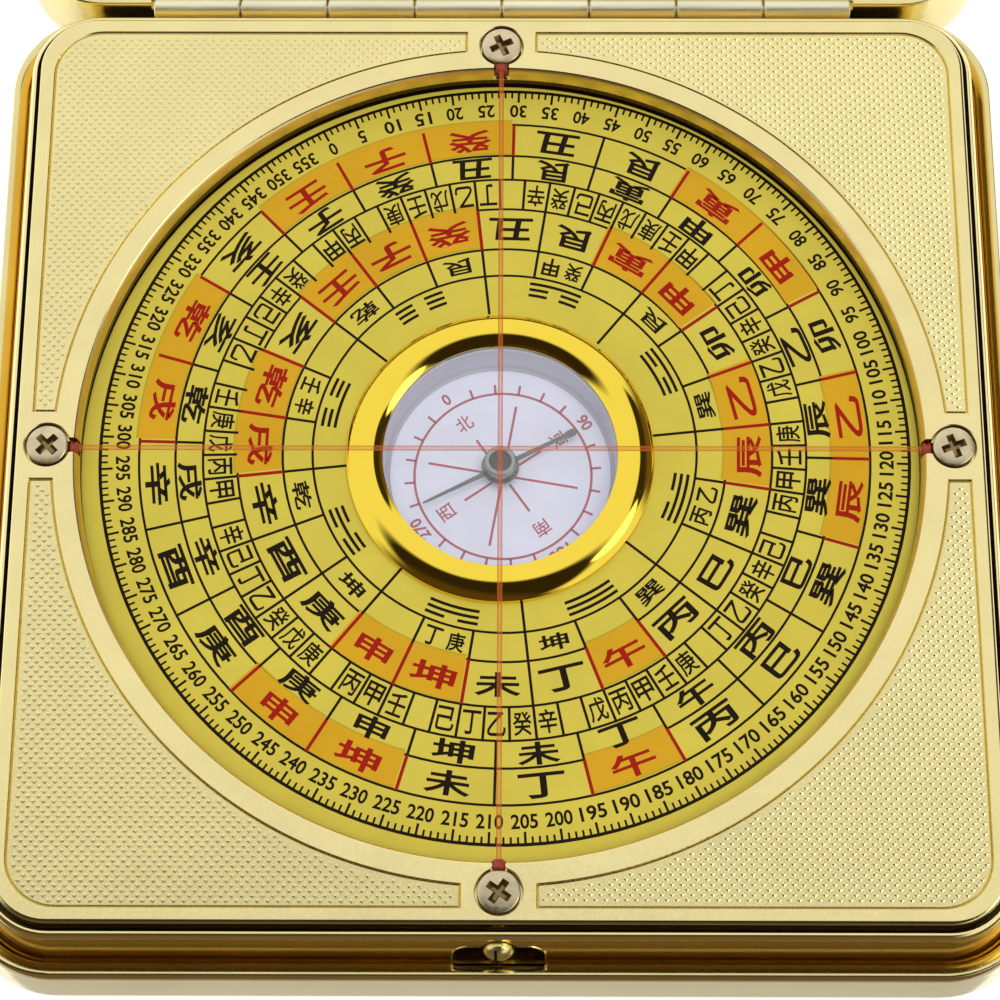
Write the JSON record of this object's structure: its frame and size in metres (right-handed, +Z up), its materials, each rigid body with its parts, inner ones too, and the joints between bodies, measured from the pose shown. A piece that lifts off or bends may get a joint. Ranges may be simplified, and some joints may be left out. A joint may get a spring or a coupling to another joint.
{
  "type": "feng shui compass",
  "caption": "Folding square gold case with a turning ringed dial, a needle capsule at its centre, cross sight threads, a hinged lid and a sprung latch stud.",
  "frame": {"origin": "centre of the base's flat underside, on the table", "axes": "+Z up out of the dial, +Y from the latch towards the hinge and the open lid, +X to the right seen from the latch"},
  "size_m": [0.08, 0.1614, 0.0112],
  "materials": {
    "satin_gold": "satin pale gold plating on die-cast zinc",
    "polished_gold": "mirror polished gold plating",
    "embossed_gold": "pale gold plating with finely embossed corner fields",
    "hinge_gold": "bright plated rolled strip",
    "bezel_gold": "bright gold plating",
    "lining_gold": "brushed pale gold plate",
    "dial_print": "yellow print with black and red signs on orange cells",
    "screw_nickel": "nickel plated cross-head screw",
    "steel": "plain spring steel",
    "needle_steel": "dull grey magnetised steel",
    "cup_white": "white moulded plastic",
    "card_white": "white card with a dark red print",
    "glass": "clear window",
    "thread_orange": "translucent orange-red monofilament"
  },
  "bodies": {
    "base": {"base_shell": "satin_gold", "inner_frame": "polished_gold", "face_plate": "embossed_gold", "base_hinge_leaf": "hinge_gold", "hinge_pin": "steel", "latch_spring": "steel", "plate_screw_right": "screw_nickel", "plate_screw_back": "screw_nickel", "plate_screw_left": "screw_nickel", "plate_screw_front": "screw_nickel", "sight_thread_across": "thread_orange", "sight_thread_along": "thread_orange"},
    "dial": {"dial_disc": "dial_print", "dial_bush": "polished_gold", "dial_clip": "steel", "capsule_cup": "cup_white", "bezel_ring": "bezel_gold", "capsule_glass": "glass", "compass_card": "card_white", "needle_pivot": "steel"},
    "needle": {"needle": "needle_steel", "needle_cap": "needle_steel"},
    "lid": {"lid_shell": "satin_gold", "lid_lining": "lining_gold", "lid_hinge_leaf": "hinge_gold"},
    "latch": {"latch_stud": "polished_gold"}
  },
  "joints": [
    {"name": "lid_hinge", "type": "hinge", "parent": "base", "child": "lid", "pos_m": [0, 0.0407, 0.0064], "axis": [1, 0, 0], "range_deg": [0, 180]},
    {"name": "dial_turn", "type": "hinge", "parent": "base", "child": "dial", "pos_m": [0, 0, 0.0077], "axis": [0, 0, 1], "continuous": true},
    {"name": "needle_turn", "type": "hinge", "parent": "dial", "child": "needle", "pos_m": [0, 0, 0.0067], "axis": [0, 0, 1], "continuous": true},
    {"name": "latch_press", "type": "slide", "parent": "base", "child": "latch", "axis": [0, 1, 0], "range_m": [0, 0.0005], "stiffness_N_per_m": 400, "springref_m": -0.0005, "deforming": ["latch_spring"]}
  ]
}
